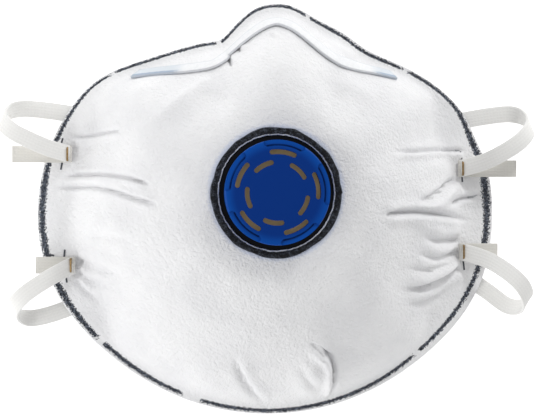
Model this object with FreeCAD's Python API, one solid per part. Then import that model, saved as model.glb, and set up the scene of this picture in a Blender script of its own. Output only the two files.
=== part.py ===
"""Disposable cup dust mask with an exhalation valve, lying on its rim.

Frame: millimetres, +Z out through the valve, +Y towards the nose, +X to the right
of the mask as seen from outside. The origin is under the middle of the rim's box,
on the surface that the mask lies on.
"""
import FreeCAD, Part
import os
from math import atan2, cos, exp, hypot, pi, radians, sin, tan
from FreeCAD import Placement, Rotation, Vector

os.makedirs("parts", exist_ok=True)
doc = FreeCAD.newDocument("dust_mask")

# ---------------------------------------------------------------- driving sizes
SIZES = {
    # cup
    "valve_y": 4.9, "dome_top": 46.0, "plateau_radius": 20.0, "wall_power": 1.35,
    "rim_radius": 66.6, "cheek_swell": 2.9, "nose_side_cut": 17.3, "nose_peak": 7.2,
    "nose_rise": 13.0, "chin_rise": 10.0, "nose_fullness": 0.2,
    "flange_narrow": 3.4, "flange_wide": 11.5, "flange_slope": 20.0, "flange_thick": 1.2,
    "hole_radius": 16.3, "weld_ring_radius": 18.7,
    # layers from the outside in, with a bonding gap between them
    "cover_thick": 0.5, "carbon_thick": 0.7, "filter_thick": 0.35, "shell_thick": 0.8,
    "inner_thick": 0.4, "layer_gap": 0.1,
    # valve
    "seat_flange_thick": 1.2, "collar_radius": 13.4, "port_radius": 10.8,
    "seat_below": 0.6,
    "seat_rise": 2.4, "lip_thick": 0.7, "lip_foot": 0.5, "lip_height": 0.6,
    "spoke_width": 1.6, "spoke_depth": 1.4,
    "post_radius": 1.3, "post_height": 4.2, "spoke_count": 5,
    "disc_radius": 12.3, "disc_thick": 0.45, "disc_hole_radius": 1.55,
    "cap_radius": 14.9, "cap_wall": 1.1, "cap_height": 6.6, "cap_top": 1.2, "cap_crown": 0.8,
    "cap_edge": 0.35, "cap_gap": 0.25,
    "slot_width": 1.4, "outer_slot_radius": 11.5, "inner_slot_radius": 8.6, "slot_span": 32.0,
    "window_radius": 13.75, "window_width": 1.2, "window_span": 44.0, "window_depth": 2.4,
    "slot_count": 5, "slot_turn": 82.0,
    # nose clip and foam
    "clip_width": 5.0, "clip_thick": 0.9, "clip_lift": 0.35,
    "foam_width": 10.0, "foam_thick": 3.0, "foam_gap": 1.4,
    # staples and straps
    "wire": 0.6, "staple_crown": 3.8, "staple_hook": 1.6, "staple_gap": 0.1, "hook_drop": 0.55,
    "strap_width": 5.0, "strap_thick": 0.8, "fold_radius": 0.45,
    "upper_tail": 16.4, "lower_tail": 10.4,
}
sheet = doc.addObject("Spreadsheet::Sheet", "sizes")
for line_number, (alias, value) in enumerate(SIZES.items(), start=1):
    sheet.set(f"A{line_number}", alias)
    sheet.set(f"B{line_number}", str(value))
    sheet.setAlias(f"B{line_number}", alias)
doc.recompute()


def size(alias):
    """A driving size, read from the sheet."""
    return float(sheet.get(alias))


VALVE = Vector(0, size("valve_y"), 0)
DOME_TOP = size("dome_top")
sub_parts = []


# ---------------------------------------------------------------- shape of the cup
def half_cosine(angle, start, end):
    """1 before start, 0 after end, and half a cosine wave between them (degrees)."""
    if angle <= start:
        return 1.0
    if angle >= end:
        return 0.0
    return 0.5 + 0.5 * cos(pi * (angle - start) / (end - start))


def rim_radius(turn):
    """Plan distance from the valve's axis to the rim, turn degrees away from the nose."""
    swell = size("cheek_swell") * exp(-((turn - 112) / 22) ** 2)
    side_cut = size("nose_side_cut") * half_cosine(turn, 20, 85)
    peak = size("nose_peak") * exp(-(turn / 15.6) ** 2.8)
    return size("rim_radius") + swell - side_cut + peak


def rim_height(turn):
    """Height of the rim's lower edge: flat on the ground at the cheeks only."""
    if turn < 82:
        return size("nose_rise") * ((82 - turn) / 82) ** 1.15
    if turn > 100:
        return size("chin_rise") * ((turn - 100) / 80) ** 1.1
    return 0.0


def flange_width(turn):
    """The welded flange is wide at the cheeks, where the straps are stapled to it."""
    wide = half_cosine(-turn, -72, -56) * half_cosine(turn, 120, 138)
    return size("flange_narrow") + (size("flange_wide") - size("flange_narrow")) * wide


def flange_gain(turn):
    """How much the flange climbs over its own width."""
    return flange_width(turn) * tan(radians(size("flange_slope")))


def wall_power(turn):
    """How full the wall bulges: fuller over the nose ridge."""
    return size("wall_power") + size("nose_fullness") * half_cosine(turn, 10, 40)


def wall_point(direction, share, depth=0.0):
    """A point of the wall: share 0 at the flange, 1 at the flat top round the valve.

    The wall is a superellipse quarter between the flange's inner edge and the flat top.
    depth is how far under the cup's outer skin the point lies, along the skin's normal.
    """
    turn = abs(90 - direction) if direction <= 270 else 450 - direction
    flat = size("plateau_radius")
    foot_radius = rim_radius(turn) - flange_width(turn)
    foot_z = rim_height(turn) + flange_gain(turn) + size("flange_thick")
    power = wall_power(turn)
    lean = share * pi / 2
    across = cos(lean) ** (2 / power)
    up = sin(lean) ** (2 / power)
    radius = flat + (foot_radius - flat) * across
    height = foot_z + (DOME_TOP - foot_z) * up
    run, climb = foot_radius - flat, DOME_TOP - foot_z
    # the normal of a superellipse leans with the powers of both shares
    out = across ** (power - 1) / run
    rise = up ** (power - 1) / climb
    scale = depth / hypot(out, rise)
    radius -= out * scale
    height -= rise * scale
    angle = radians(direction)
    return Vector(radius * cos(angle), VALVE.y + radius * sin(angle), height)


def surface_height(x, y):
    """Height of the cup's outer skin over a plan point, and the skin's outward normal."""
    def height(px, py):
        dx, dy = px, py - VALVE.y
        radius = hypot(dx, dy)
        direction = atan2(dy, dx) * 180 / pi
        turn = abs(90 - direction) if direction >= -90 else 270 + direction
        flat = size("plateau_radius")
        foot_radius = rim_radius(turn) - flange_width(turn)
        foot_z = rim_height(turn) + flange_gain(turn) + size("flange_thick")
        if radius >= foot_radius:
            return foot_z - (radius - foot_radius) * tan(radians(size("flange_slope")))
        if radius <= flat:
            return DOME_TOP
        power = wall_power(turn)
        across = (radius - flat) / (foot_radius - flat)
        return foot_z + (DOME_TOP - foot_z) * (1 - across ** power) ** (1 / power)
    step = 0.6
    slope_x = (height(x + step, y) - height(x - step, y)) / (2 * step)
    slope_y = (height(x, y + step) - height(x, y - step)) / (2 * step)
    normal = Vector(-slope_x, -slope_y, 1)
    normal.normalize()
    return height(x, y), normal


RAY_STEP = 5
DIRECTIONS = range(0, 360, RAY_STEP)
WALL_SHARES = [0.0, 0.06, 0.16, 0.3, 0.46, 0.62, 0.78, 0.9, 1.0]


def closed_surface(rows):
    """A smooth surface through rings of points: periodic round the cup, open up the wall."""
    around, up = len(rows[0]), len(rows)
    poles = [[rows[j][i] for j in range(up)] for i in range(around)]
    surface = Part.BSplineSurface()
    surface.buildFromPolesMultsKnots(
        poles, [1] * (around + 1), [4] + [1] * (up - 4) + [4],
        list(range(around + 1)), list(range(up - 2)), True, False, 3, 3)
    return surface.toShape()


def ring_edge(points):
    """A closed smooth edge round the cup, the same curve as closed_surface makes."""
    curve = Part.BSplineCurve()
    curve.buildFromPolesMultsKnots(points, [1] * (len(points) + 1),
                                   list(range(len(points) + 1)), True, 3)
    return curve.toShape()


def closed_solid(rings):
    """A tube-like solid round the cup from rings of points, each joined to the next."""
    faces = []
    for first, second in zip(rings, rings[1:] + rings[:1]):
        faces.append(Part.makeRuledSurface(ring_edge(first), ring_edge(second)))
    shell = Part.makeShell(faces)
    shell.sewShape()
    solid = Part.makeSolid(shell)
    if solid.Volume < 0:
        solid.reverse()
    return solid


def layer(label, depth, thick, hole):
    """One ply of the cup: two smooth walls, closed by ruled bands at the rim and the hole."""
    def flat_ring(radius, z):
        spread = 1 / (1 - (radians(RAY_STEP) ** 2) / 6)
        return [VALVE + Vector(radius * spread * cos(radians(a)), radius * spread * sin(radians(a)), z)
                for a in DIRECTIONS]

    def skin(level):
        rows = [[wall_point(a, share, level) for a in DIRECTIONS] for share in WALL_SHARES]
        rows.append(flat_ring((size("plateau_radius") + hole) / 2, DOME_TOP - level))
        rows.append(flat_ring(hole, DOME_TOP - level))
        return rows

    outer, inner = skin(depth), skin(depth + thick)
    faces = [closed_surface(outer), closed_surface(inner)]
    for end in (0, -1):
        faces.append(Part.makeRuledSurface(ring_edge(outer[end]), ring_edge(inner[end])))
    shell = Part.makeShell(faces)
    shell.sewShape()
    solid = Part.makeSolid(shell)
    if solid.Volume < 0:
        solid.reverse()
    return add_shape(label, solid)


def add_shape(label, shape):
    """A sub-part whose shape is made here."""
    feature = doc.addObject("Part::Feature", label)
    feature.Label = label
    feature.Shape = shape
    feature.Placement = Placement(Vector(0, 0, 0), Rotation())
    sub_parts.append(feature)
    return feature


# ---------------------------------------------------------------- cup layers
GAP = size("layer_gap")
HOLE_GAP = 0.2
PLIES = [("outer_cover", "cover_thick", "weld_ring_radius"),
         ("carbon_layer", "carbon_thick", "weld_ring_radius"),
         ("filter_layer_outer", "filter_thick", "weld_ring_radius"),
         ("filter_layer_inner", "filter_thick", "weld_ring_radius"),
         ("support_shell", "shell_thick", "collar_radius"),
         ("inner_cover", "inner_thick", "collar_radius")]
depth = 0.0
for label, thick_alias, hole_alias in PLIES:
    layer(label, depth, size(thick_alias), size(hole_alias) + HOLE_GAP)
    depth += size(thick_alias) + GAP
CUP_THICK = depth - GAP
INSIDE_Z = DOME_TOP - CUP_THICK


def flange_point(direction, inset, height):
    """A point of the flange: inset from the rim in plan, height over the flange's underside."""
    turn = abs(90 - direction) if direction <= 270 else 450 - direction
    radius = rim_radius(turn) - inset
    z = rim_height(turn) + inset * tan(radians(size("flange_slope"))) + height
    angle = radians(direction)
    return VALVE + Vector(radius * cos(angle), radius * sin(angle), z)


def flange_ring(share, height):
    """A ring round the flange: share 0 at the rim, 1 at the flange's inner edge."""
    rings = []
    for direction in DIRECTIONS:
        turn = abs(90 - direction) if direction <= 270 else 450 - direction
        rings.append(flange_point(direction, share * flange_width(turn), height))
    return rings


def welded_edge():
    """The fused flange: thin at the rim, and as thick as the layers where they run in."""
    thick = size("flange_thick")
    inner_foot = [wall_point(a, 0.0, CUP_THICK) for a in DIRECTIONS]
    outer_foot = [wall_point(a, 0.0, 0.0) for a in DIRECTIONS]
    clear = 0.08
    for ring in (inner_foot, outer_foot):
        for point in ring:
            away = point - VALVE
            away.z = 0
            away.normalize()
            point += away * clear
    return closed_solid([flange_ring(0, 0), flange_ring(0, thick), outer_foot, inner_foot])


add_shape("welded_edge", welded_edge())


# ---------------------------------------------------------------- bent strips on the cup
def section_at(point, along, normal, width, thick):
    """A rectangle across a strip: its underside is centred on point."""
    side = normal.cross(along)
    side.normalize()
    up = along.cross(side)
    up.normalize()
    corners = [point - side * (width / 2), point + side * (width / 2),
               point + side * (width / 2) + up * thick, point - side * (width / 2) + up * thick]
    return Part.makePolygon(corners + corners[:1])


def smooth_curve(points):
    curve = Part.BSplineCurve()
    curve.interpolate(points)
    return curve


def strip(plan_points, lift, width, thick, stations, inward=False):
    """A flat strip that follows the cup's skin over a plan route, lifted off the skin."""
    plan = smooth_curve([Vector(x, y, 0) for x, y in plan_points])
    first, last = plan.FirstParameter, plan.LastParameter
    points, normals = [], []
    for i in range(stations):
        spot = plan.value(first + (last - first) * i / (stations - 1))
        z, normal = surface_height(spot.x, spot.y)
        points.append(Vector(spot.x, spot.y, z) + normal * lift)
        normals.append(normal)
    sections = []
    for i in range(stations):
        before, after = max(i - 1, 0), min(i + 1, stations - 1)
        along = points[after] - points[before]
        along.normalize()
        normal = normals[before] + normals[i] + normals[after]
        normal -= along * normal.dot(along)
        normal.normalize()
        if inward:
            normal = normal * -1
        sections.append(section_at(points[i], along, normal, width, thick))
    return Part.makeLoft(sections, True, True)


CLIP_ROUTE = [(-39, 39.9), (-28, 41.3), (-20, 43.2), (-13.5, 48.3), (-7, 54.4), (0, 57.0),
              (7, 54.4), (13.5, 48.3), (20, 43.2), (28, 41.3), (39, 39.9)]
add_shape("nose_clip", strip(CLIP_ROUTE, size("clip_lift"), size("clip_width"),
                             size("clip_thick"), 25))
FOAM_ROUTE = [(-33, 37.6), (-24, 38.6), (-16, 41.0), (-9, 45.3), (0, 49.0),
              (9, 45.3), (16, 41.0), (24, 38.6), (33, 37.6)]
add_shape("nose_foam", strip(FOAM_ROUTE, -CUP_THICK - size("foam_gap"), size("foam_width"),
                             size("foam_thick"), 21, inward=True))


# ---------------------------------------------------------------- valve: turned pieces
def origin_plane(body, role):
    """One of a body's own origin planes."""
    return next(item for item in body.Origin.OriginFeatures if item.Role == role)


def new_body(label):
    body = doc.addObject("PartDesign::Body", label)
    body.Label = label
    sub_parts.append(body)
    return body


def new_sketch(body, name, role="XY_Plane"):
    sketch = body.newObject("Sketcher::SketchObject", name)
    sketch.AttachmentSupport = [(origin_plane(body, role), "")]
    sketch.MapMode = "FlatFace"
    return sketch


def outline(sketch, points):
    """Closed outline of straight lines through the points."""
    for (x1, y1), (x2, y2) in zip(points, points[1:] + points[:1]):
        sketch.addGeometry(Part.LineSegment(Vector(x1, y1, 0), Vector(x2, y2, 0)), False)


def revolve(body, name, points):
    """A turned solid from an outline of (radius, height) points, round the body's Z axis."""
    sketch = new_sketch(body, name + "_outline", "XZ_Plane")
    outline(sketch, points)
    turned = body.newObject("PartDesign::Revolution", name)
    turned.Profile = sketch
    turned.ReferenceAxis = (sketch, ["V_Axis"])
    turned.Angle = 360
    return turned


def arc_slot(sketch, radius, width, centre_deg, span_deg):
    """A banana-shaped slot round the sketch's centre, with rounded ends."""
    start, end = radians(centre_deg - span_deg / 2), radians(centre_deg + span_deg / 2)
    origin, up = Vector(0, 0, 0), Vector(0, 0, 1)
    for rim in (radius - width / 2, radius + width / 2):
        sketch.addGeometry(Part.ArcOfCircle(Part.Circle(origin, up, rim), start, end), False)
    first = Vector(radius * cos(start), radius * sin(start), 0)
    last = Vector(radius * cos(end), radius * sin(end), 0)
    sketch.addGeometry(Part.ArcOfCircle(Part.Circle(first, up, width / 2), start - pi, start), False)
    sketch.addGeometry(Part.ArcOfCircle(Part.Circle(last, up, width / 2), end, end + pi), False)


def cut_slots(body, name, radius, width, centre_deg, span_deg, heights):
    """A ring of equal slots cut down into a body, between two heights."""
    doc.recompute()
    before = body.Shape.Volume
    sketch = new_sketch(body, name + "_outline")
    sketch.AttachmentOffset = Placement(Vector(0, 0, heights[1]), Rotation())
    arc_slot(sketch, radius, width, centre_deg, span_deg)
    pocket = body.newObject("PartDesign::Pocket", name)
    pocket.Profile = sketch
    pocket.Length = heights[1] - heights[0]
    pocket.Reversed = False
    pattern = body.newObject("PartDesign::PolarPattern", name + "_ring")
    pattern.Originals = [pocket]
    pattern.Axis = (sketch, ["N_Axis"])
    pattern.Angle = 360
    pattern.Occurrences = int(size("slot_count"))
    body.Tip = pattern
    doc.recompute()
    if body.Shape.Volume > before - 1:
        raise RuntimeError(f"{name} cut nothing")


SEAT_TOP = DOME_TOP + size("seat_rise")
FLANGE_TOP = DOME_TOP - size("cover_thick") - GAP
SPOKES_TOP = SEAT_TOP - size("lip_height")
SPOKES_LOW = SPOKES_TOP - size("spoke_depth")


def valve_seat():
    """Black base: flange under the cover, collar through the cup, spokes and sealing lip."""
    body = new_body("valve_seat")
    port, collar = size("port_radius"), size("collar_radius")
    flange, low = size("weld_ring_radius"), FLANGE_TOP - size("seat_flange_thick")
    lip, bottom = port + size("lip_thick"), INSIDE_Z - size("seat_below")
    revolve(body, "seat_ring", [
        (port, bottom), (collar, bottom), (collar, low), (flange, low), (flange, FLANGE_TOP),
        (collar, FLANGE_TOP), (collar, SPOKES_TOP), (lip + size("lip_foot"), SPOKES_TOP),
        (lip, SEAT_TOP), (port, SEAT_TOP)])
    post = new_sketch(body, "post_outline")
    post.addGeometry(Part.Circle(Vector(0, 0, 0), Vector(0, 0, 1), size("post_radius")), False)
    post.AttachmentOffset = Placement(Vector(0, 0, SPOKES_LOW), Rotation())
    pad = body.newObject("PartDesign::Pad", "guide_post")
    pad.Profile = post
    pad.Length = size("post_height")
    spoke = new_sketch(body, "spoke_outline")
    spoke.AttachmentOffset = Placement(Vector(0, 0, SPOKES_LOW), Rotation())
    half = size("spoke_width") / 2
    outline(spoke, [(0, -half), (lip, -half), (lip, half), (0, half)])
    arm = body.newObject("PartDesign::Pad", "spoke")
    arm.Profile = spoke
    arm.Length = SPOKES_TOP - SPOKES_LOW
    ring = body.newObject("PartDesign::PolarPattern", "spokes")
    ring.Originals = [arm]
    ring.Axis = (spoke, ["N_Axis"])
    ring.Angle = 360
    ring.Occurrences = int(size("spoke_count"))
    body.Tip = ring
    return body


def valve_diaphragm():
    """Thin rubber disc that rests on the sealing lip, guided on the post through its middle."""
    body = new_body("valve_diaphragm")
    low, high = SEAT_TOP, SEAT_TOP + size("disc_thick")
    revolve(body, "disc", [(size("disc_hole_radius"), low), (size("disc_radius"), low),
                           (size("disc_radius"), high), (size("disc_hole_radius"), high)])
    return body


CAP_FOOT = DOME_TOP + size("cap_gap")
CAP_TOP = CAP_FOOT + size("cap_height")


def valve_cover():
    """Blue snap-on cap: crowned disc with a skirt, two rings of slots and five snap windows."""
    body = new_body("valve_cover")
    outer, edge, crown = size("cap_radius"), size("cap_edge"), size("cap_crown")
    inner = outer - size("cap_wall")
    under = CAP_TOP - crown - size("cap_top")
    top = outer - edge
    crowned = [(top * share, CAP_TOP - crown * share ** 2) for share in (1.0, 0.75, 0.5, 0.25)]
    revolve(body, "cap", [
        (0, under), (inner - edge, under), (inner, under - edge), (inner, CAP_FOOT),
        (outer, CAP_FOOT), (outer, CAP_TOP - crown - edge), *crowned, (0, CAP_TOP)])
    over = 0.5
    through = (under - over, CAP_TOP + over)
    turn, half_step = size("slot_turn"), 180 / size("slot_count")
    cut_slots(body, "outer_slot", size("outer_slot_radius"), size("slot_width"), turn,
              size("slot_span"), through)
    cut_slots(body, "inner_slot", size("inner_slot_radius"), size("slot_width"), turn + half_step,
              size("slot_span"), through)
    shallow = (CAP_TOP - size("window_depth"), CAP_TOP + over)
    cut_slots(body, "snap_window", size("window_radius"), size("window_width"), turn,
              size("window_span"), shallow)
    return body


def weld_ring():
    """The ring of cover that is fused onto the seat's flange."""
    body = new_body("valve_weld_ring")
    low, inner, outer = FLANGE_TOP + GAP / 4, size("hole_radius"), size("weld_ring_radius")
    revolve(body, "fused_ring", [(inner, low), (outer, low), (outer, DOME_TOP),
                                 (inner + size("cover_thick") / 2, DOME_TOP)])
    return body


for make in (valve_seat, valve_diaphragm, valve_cover, weld_ring):
    make().Placement = Placement(VALVE, Rotation())


# ---------------------------------------------------------------- straps and staples
STRAP_WIDTH, STRAP_THICK = size("strap_width"), size("strap_thick")
FOLD = size("fold_radius")
FLOOR_GAP = 0.05
GROUND = STRAP_THICK / 2 + FLOOR_GAP
FOLD_INSET = 0.5
TAIL_GAP = 0.15

# where each staple pierces the flange, in plan
STAPLES = {
    "upper_left": (-59.8, 16.6), "upper_right": (58.2, 12.4),
    "lower_left": (-58.8, -16.4), "lower_right": (58.4, -12.5),
}


def tail_height(name):
    """Height of the middle of a strap's tail: just clear of the flange under its fold."""
    x, y = STAPLES[name]
    inner_x = x - (FOLD_INSET + FOLD + STRAP_THICK / 2) * (1 if x > 0 else -1)
    return surface_height(inner_x, y)[0] + TAIL_GAP + STRAP_THICK / 2


def strap_start(name):
    """Where the long part of a strap leaves its fold, on top of the tail."""
    x, y = STAPLES[name]
    return Vector(x - FOLD_INSET * (1 if x > 0 else -1), y, tail_height(name) + 2 * FOLD)


# The straps' middle lines between their two folds. Each loop rises off the flange, turns down
# outside the rim and comes back along the ground, under the rim, and across below the cup.
UPPER_ROUTE = [
    strap_start("upper_left"), Vector(-64.2, 17.8, 8.4), Vector(-70.4, 20.4, 11.6),
    Vector(-76.6, 23.4, 12.0), Vector(-79.8, 27.2, 6.4), Vector(-75.6, 30.4, GROUND),
    Vector(-67.8, 30.0, GROUND), Vector(-58.0, 28.6, GROUND), Vector(-42.0, 25.0, GROUND),
    Vector(-20.0, 20.6, GROUND), Vector(4.0, 19.0, GROUND), Vector(26.0, 20.4, GROUND),
    Vector(45.0, 24.0, GROUND), Vector(59.0, 27.0, GROUND), Vector(68.0, 28.6, GROUND),
    Vector(75.4, 29.2, GROUND), Vector(79.4, 25.4, 6.4), Vector(75.6, 20.8, 12.0),
    Vector(69.4, 16.8, 11.6), Vector(63.0, 13.6, 8.6), strap_start("upper_right")]
LOWER_ROUTE = [
    strap_start("lower_left"), Vector(-62.6, -18.6, 8.2), Vector(-68.0, -21.8, 11.2),
    Vector(-73.0, -25.2, 11.8), Vector(-76.8, -29.8, 6.4), Vector(-72.2, -32.8, GROUND),
    Vector(-65.0, -31.4, GROUND), Vector(-56.0, -28.0, GROUND), Vector(-42.0, -22.0, GROUND),
    Vector(-22.0, -16.2, GROUND), Vector(2.0, -13.0, GROUND), Vector(24.0, -12.6, GROUND),
    Vector(44.0, -14.8, GROUND), Vector(58.0, -19.0, GROUND), Vector(66.8, -24.6, GROUND),
    Vector(73.4, -30.0, GROUND), Vector(78.4, -28.2, 6.4), Vector(76.0, -22.6, 11.8),
    Vector(70.2, -17.6, 11.4), Vector(64.0, -14.0, 8.8), strap_start("lower_right")]


def rounded_route(label, points):
    """Straight runs joined by tangent arcs, as (point, direction) samples, and its length."""
    runs = [second - first for first, second in zip(points, points[1:])]
    ways = [Vector(run).normalize() for run in runs]
    samples = [(points[0], ways[0])]
    radii, length, here = [], 0.0, points[0]
    for i in range(1, len(points) - 1):
        turn = ways[i - 1].getAngle(ways[i])
        trim = 0.45 * min(runs[i - 1].Length, runs[i].Length)
        radius = trim / tan(turn / 2)
        radii.append(radius)
        start, end = points[i] - ways[i - 1] * trim, points[i] + ways[i] * trim
        inward = (ways[i] - ways[i - 1]).normalize()
        middle = points[i] + inward * (radius / cos(turn / 2) - radius)
        arc = Part.Arc(start, middle, end).toShape()
        steps = max(2, round(turn / radians(12)))
        for k in range(steps + 1):
            at = arc.FirstParameter + (arc.LastParameter - arc.FirstParameter) * k / steps
            samples.append((arc.valueAt(at), arc.tangentAt(at)))
        length += (start - here).Length + arc.Length
        here = end
    length += (points[-1] - here).Length
    samples.append((points[-1], ways[-1]))
    print(label, "length", round(length, 1), "radii", [round(radius, 1) for radius in radii])
    return samples, length


def tail_samples(name, tail):
    """A strap's end: from the cut edge of its tail in to the staple and round the fold."""
    x, y = STAPLES[name]
    out = Vector(1 if x > 0 else -1, 0, 0)
    top = strap_start(name)
    low = top - Vector(0, 0, 2 * FOLD)
    centre = top - Vector(0, 0, FOLD)
    samples = [(low + out * (tail + FOLD_INSET), out * -1)]
    steps = 6
    for k in range(steps + 1):
        angle = pi * k / steps
        spot = centre - out * (FOLD * sin(angle)) - Vector(0, 0, FOLD * cos(angle))
        samples.append((spot, out * -cos(angle) + Vector(0, 0, sin(angle))))
    return samples


def band_section(spot, along, fold_line):
    """The strap's rectangular section. Its width lies as near the fold line as it can."""
    normal = fold_line.cross(along).normalize()
    across = along.cross(normal)
    half, thick = across * (STRAP_WIDTH / 2), normal * (STRAP_THICK / 2)
    return [spot - half - thick, spot + half - thick, spot + half + thick, spot - half + thick]


def closed_band(sections):
    """One solid from consecutive sections: flat triangles along the sides and at both ends."""
    faces = []

    def triangle(a, b, c):
        faces.append(Part.Face(Part.makePolygon([a, b, c, a])))
    for first, second in zip(sections, sections[1:]):
        for k in range(4):
            n = (k + 1) % 4
            triangle(first[k], first[n], second[n])
            triangle(first[k], second[n], second[k])
    for cap in (sections[0], sections[-1]):
        triangle(cap[0], cap[1], cap[2])
        triangle(cap[0], cap[2], cap[3])
    shell = Part.makeShell(faces)
    shell.sewShape()
    solid = Part.makeSolid(shell)
    if solid.Volume < 0:
        solid.reverse()
    return solid


def strap(label, route, left, right, tail, tilt):
    """A flat elastic band with both ends folded back under the staples.

    tilt is how far the loops' fold lines lean off the Y axis, in degrees.
    """
    samples, length = rounded_route(label, route)
    start = tail_samples(left, tail)
    end = [(spot, along * -1) for spot, along in reversed(tail_samples(right, tail))]
    sections = []
    for spot, along in start + samples[1:-1] + end:
        lean = radians(tilt) * max(-1.0, min(1.0, spot.x / 60))
        near_fold = half_cosine(abs(spot.x), 60, 68)
        lean *= 1 - near_fold
        sections.append(band_section(spot, along, Vector(-sin(lean), cos(lean), 0)))
    solid = closed_band(sections)
    expected = STRAP_WIDTH * STRAP_THICK * (length + 2 * (tail + FOLD_INSET + pi * FOLD))
    print(label, "volume", round(solid.Volume, 1), "section times length", round(expected, 1))
    return solid


FIRST_RUNS = {"upper_left": UPPER_ROUTE[:2], "upper_right": UPPER_ROUTE[:-3:-1],
              "lower_left": LOWER_ROUTE[:2], "lower_right": LOWER_ROUTE[:-3:-1]}


def crown_height(name):
    """Height of the middle of a staple's crown: just clear of the strap climbing under it."""
    start, after = FIRST_RUNS[name]
    climb = (after.z - start.z) * FOLD_INSET / abs(after.x - start.x)
    return start.z + climb + (STRAP_THICK + size("wire")) / 2 + size("staple_gap")


def hook_height(name):
    """Height of the middle of a staple's hooks: just clear of the flange's underside."""
    x, y = STAPLES[name]
    reach = size("staple_crown") / 2
    under = min(surface_height(x, y + side * reach)[0] for side in (-1, 1)) - size("flange_thick")
    return under - size("hook_drop")


def staple_legs(name, radius):
    """The two round holes that a staple's legs make."""
    x, y = STAPLES[name]
    reach = size("staple_crown") / 2
    low, high = hook_height(name), crown_height(name) + size("wire")
    return [Part.makeCylinder(radius, high - low, Vector(x, y + side * reach, low))
            for side in (-1, 1)]


def staple(name):
    """Bent wire: crown across the strap, two legs through it and the flange, hooks clinched."""
    body = new_body("staple_" + name)
    crown, hook, bend = size("staple_crown") / 2, size("staple_hook"), size("wire")
    leg = crown_height(name) - hook_height(name)
    path = new_sketch(body, "wire_path", "YZ_Plane")
    corners = [(-crown + hook, -leg), (-crown, -leg), (-crown, 0), (crown, 0), (crown, -leg),
               (crown - hook, -leg)]
    here = Vector(*corners[0], 0)
    for before, corner, after in zip(corners, corners[1:], corners[2:]):
        point = Vector(*corner, 0)
        way_in = (point - Vector(*before, 0)).normalize()
        way_out = (Vector(*after, 0) - point).normalize()
        start, end = point - way_in * bend, point + way_out * bend
        centre = start + way_out * bend
        middle = centre + (point - centre).normalize() * bend
        path.addGeometry(Part.LineSegment(here, start), False)
        path.addGeometry(Part.Arc(start, middle, end), False)
        here = end
    path.addGeometry(Part.LineSegment(here, Vector(*corners[-1], 0)), False)
    wire = new_sketch(body, "wire_section", "XZ_Plane")
    wire.AttachmentOffset = Placement(Vector(0, 0, crown - hook), Rotation())
    wire.addGeometry(Part.Circle(Vector(0, -leg, 0), Vector(0, 0, 1), size("wire") / 2), False)
    pipe = body.newObject("PartDesign::AdditivePipe", "wire")
    pipe.Profile = wire
    pipe.Spine = path
    x, y = STAPLES[name]
    body.Placement = Placement(Vector(x, y, crown_height(name)), Rotation())


for name in STAPLES:
    staple(name)

strap_solids = {
    "upper_strap": strap("upper_strap", UPPER_ROUTE, "upper_left", "upper_right",
                         size("upper_tail"), 22),
    "lower_strap": strap("lower_strap", LOWER_ROUTE, "lower_left", "lower_right",
                         size("lower_tail"), -30)}
HOLE = size("wire") / 2 + size("staple_gap")
all_legs = [leg for name in STAPLES for leg in staple_legs(name, HOLE)]
for label, solid in strap_solids.items():
    add_shape(label, solid.cut(all_legs))
edge = next(item for item in sub_parts if item.Label == "welded_edge")
edge.Shape = edge.Shape.cut(all_legs)


# ---------------------------------------------------------------- check and write
doc.recompute()
for item in doc.Objects:
    if "Invalid" in item.State or "Error" in item.State:
        raise RuntimeError(f"{item.Label} failed: {item.State}")
for item in sub_parts:
    if item.Shape.isNull() or not item.Shape.isValid():
        raise RuntimeError(f"{item.Label} has no valid shape")
    box = item.Shape.BoundBox
    print(item.Label, len(item.Shape.Solids), "solid", round(item.Shape.Volume, 1), "mm3",
          [round(v, 1) for v in (box.XMin, box.XMax, box.YMin, box.YMax, box.ZMin, box.ZMax)])
    item.Shape.exportStep(f"parts/{item.Label}.step")
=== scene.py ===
"""Looks of the disposable cup dust mask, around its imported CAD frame. Metres, +Z out of the valve."""
from collections import namedtuple

import bmesh
import bpy
import numpy as np
from mathutils import Matrix, Vector


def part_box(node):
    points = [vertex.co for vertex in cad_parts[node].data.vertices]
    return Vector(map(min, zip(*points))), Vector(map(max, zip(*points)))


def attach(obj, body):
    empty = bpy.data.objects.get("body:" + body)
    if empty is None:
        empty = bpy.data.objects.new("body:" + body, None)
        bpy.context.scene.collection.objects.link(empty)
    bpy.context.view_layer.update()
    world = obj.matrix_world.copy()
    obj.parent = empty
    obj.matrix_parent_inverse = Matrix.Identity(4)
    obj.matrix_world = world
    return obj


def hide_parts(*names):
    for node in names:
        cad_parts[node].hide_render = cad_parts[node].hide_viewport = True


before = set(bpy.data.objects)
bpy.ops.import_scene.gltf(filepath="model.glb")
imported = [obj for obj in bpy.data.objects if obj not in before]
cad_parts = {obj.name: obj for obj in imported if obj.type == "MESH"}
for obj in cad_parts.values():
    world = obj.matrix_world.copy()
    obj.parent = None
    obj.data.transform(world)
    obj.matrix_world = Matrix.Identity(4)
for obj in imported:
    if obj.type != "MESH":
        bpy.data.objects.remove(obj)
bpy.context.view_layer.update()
MM = 0.001
PER_MM = (1000, 1000, 1000)  # scale that gives Object coordinates in millimetres

# places read from the frame
VALVE_Y = np.mean(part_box("valve_cover"), axis=0)[1]
AXIS = np.array([0, VALVE_Y, 0])
DOME_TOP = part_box("outer_cover")[1][2]
CAP_FOOT, CAP_TOP = (corner[2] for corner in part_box("valve_cover"))


# ---------------------------------------------------------------- camera, light and floor

MASK_MIDDLE = Vector((0, 0, 0.02))


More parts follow.
